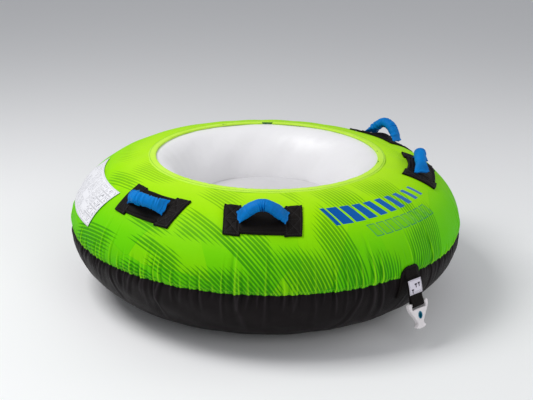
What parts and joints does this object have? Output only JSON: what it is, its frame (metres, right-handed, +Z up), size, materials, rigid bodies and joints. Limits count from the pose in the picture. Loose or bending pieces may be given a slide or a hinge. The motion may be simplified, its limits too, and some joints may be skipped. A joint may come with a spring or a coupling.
{
  "type": "towable tube",
  "caption": "Round inflatable towable tube with a nylon cover, open cockpit with a floor, padded swinging grips, and a tow loop with a moulded rope connector.",
  "frame": {"origin": "on the ground under the tube's axis, at the centre of the flat underside", "axes": "+Z up along the tube's axis, +X forwards in the tow direction through the tow loop, +Y to the rider's left"},
  "size_m": [1.2787, 1.22, 0.4475],
  "materials": {
    "green_nylon": "coated nylon, lime green with darker green stripes",
    "lime_hem": "folded coated nylon",
    "black_nylon": "coated nylon, brownish black",
    "white_vinyl": "heavy vinyl film, soft sheen",
    "webbing": "black woven polyester with stitching",
    "neoprene": "padded black cloth-faced foam",
    "foam": "closed-cell foam",
    "blue_nylon": "gathered saturated blue nylon",
    "white_plastic": "moulded white nylon",
    "teal_plastic": "moulded teal plastic",
    "label_film": "coated white label cloth with grey print lines",
    "black_plastic": "moulded black plastic",
    "valve_plastic": "moulded pale grey plastic",
    "silicone": "translucent grey silicone",
    "zip_tape": "woven black zip tape",
    "green_cord": "braided dark green cord"
  },
  "bodies": {
    "tube": {"bladder_upper_half": "white_vinyl", "bladder_lower_half": "white_vinyl", "cockpit_floor": "white_vinyl", "floor_weld_band": "white_vinyl", "cover_upper_panel": "green_nylon", "cover_lower_panel": "black_nylon", "hem_channel": "lime_hem", "hem_drawcord": "green_cord", "care_label": "label_film", "tow_patch": "webbing", "tow_strap": "webbing", "valve_base": "valve_plastic", "valve_seat": "black_plastic", "valve_flap": "silicone", "valve_leash_ring": "valve_plastic", "zip_tape": "zip_tape", "zip_chain": "black_plastic", "zip_stop_start": "black_plastic", "zip_stop_end": "black_plastic", "right_front_handle_knuckle_pad": "neoprene", "right_front_handle_patch_a": "webbing", "right_front_handle_patch_b": "webbing", "right_rear_handle_knuckle_pad": "neoprene", "right_rear_handle_patch_a": "webbing", "right_rear_handle_patch_b": "webbing", "left_front_handle_knuckle_pad": "neoprene", "left_front_handle_patch_a": "webbing", "left_front_handle_patch_b": "webbing", "left_rear_handle_knuckle_pad": "neoprene", "left_rear_handle_patch_a": "webbing", "left_rear_handle_patch_b": "webbing"},
    "right_front_grip": {"right_front_handle_strap": "webbing", "right_front_handle_foam_core": "foam", "right_front_handle_sleeve": "blue_nylon"},
    "right_rear_grip": {"right_rear_handle_strap": "webbing", "right_rear_handle_foam_core": "foam", "right_rear_handle_sleeve": "blue_nylon"},
    "left_front_grip": {"left_front_handle_strap": "webbing", "left_front_handle_foam_core": "foam", "left_front_handle_sleeve": "blue_nylon"},
    "left_rear_grip": {"left_rear_handle_strap": "webbing", "left_rear_handle_foam_core": "foam", "left_rear_handle_sleeve": "blue_nylon"},
    "tow_loop": {"tow_loop": "webbing", "tow_label": "label_film"},
    "tow_connector": {"quick_connector": "white_plastic", "connector_eye_liner": "teal_plastic"},
    "valve_cap": {"valve_cap": "valve_plastic"},
    "zip_slider": {"zip_slider": "black_plastic"},
    "zip_pull": {"zip_pull": "black_plastic"}
  },
  "joints": [
    {"name": "right_front_grip_swing", "type": "hinge", "parent": "tube", "child": "right_front_grip", "pos_m": [0.37143, -0.33444, 0.38787], "axis": [0.6691, 0.7431, 0], "range_deg": [-50, 75]},
    {"name": "right_rear_grip_swing", "type": "hinge", "parent": "tube", "child": "right_rear_grip", "pos_m": [0.07503, -0.50203, 0.38372], "axis": [0.989, 0.1478, 0], "range_deg": [-91, 34]},
    {"name": "left_front_grip_swing", "type": "hinge", "parent": "tube", "child": "left_front_grip", "pos_m": [0.35676, 0.33268, 0.39368], "axis": [-0.682, 0.7314, 0], "range_deg": [-21, 104]},
    {"name": "left_rear_grip_swing", "type": "hinge", "parent": "tube", "child": "left_rear_grip", "pos_m": [0.04322, 0.49396, 0.38986], "axis": [-0.9962, 0.0872, 0], "range_deg": [-41, 84]},
    {"name": "tow_loop_swing", "type": "hinge", "parent": "tube", "child": "tow_loop", "pos_m": [0.621, 0, 0.204], "axis": [0, -1, 0], "range_deg": [-14, 84]},
    {"name": "tow_connector_swing", "type": "hinge", "parent": "tow_loop", "child": "tow_connector", "pos_m": [0.64195, 0, 0.13094], "axis": [0, -1, 0], "range_deg": [-30, 60]},
    {"name": "valve_cap_lift", "type": "slide", "parent": "tube", "child": "valve_cap", "axis": [-0.7002, 0.6087, 0.3731], "range_m": [0, 0.02]},
    {"name": "zip_slider_travel", "type": "hinge", "parent": "tube", "child": "zip_slider", "pos_m": [0, 0, 0.0815], "axis": [0, 0, 1], "range_deg": [0, 62]},
    {"name": "zip_pull_flip", "type": "hinge", "parent": "zip_slider", "child": "zip_pull", "pos_m": [-0.48836, 0.29577, 0.08154], "axis": [-0.5627, 0.3381, 0.7544], "range_deg": [-75, 75]}
  ]
}
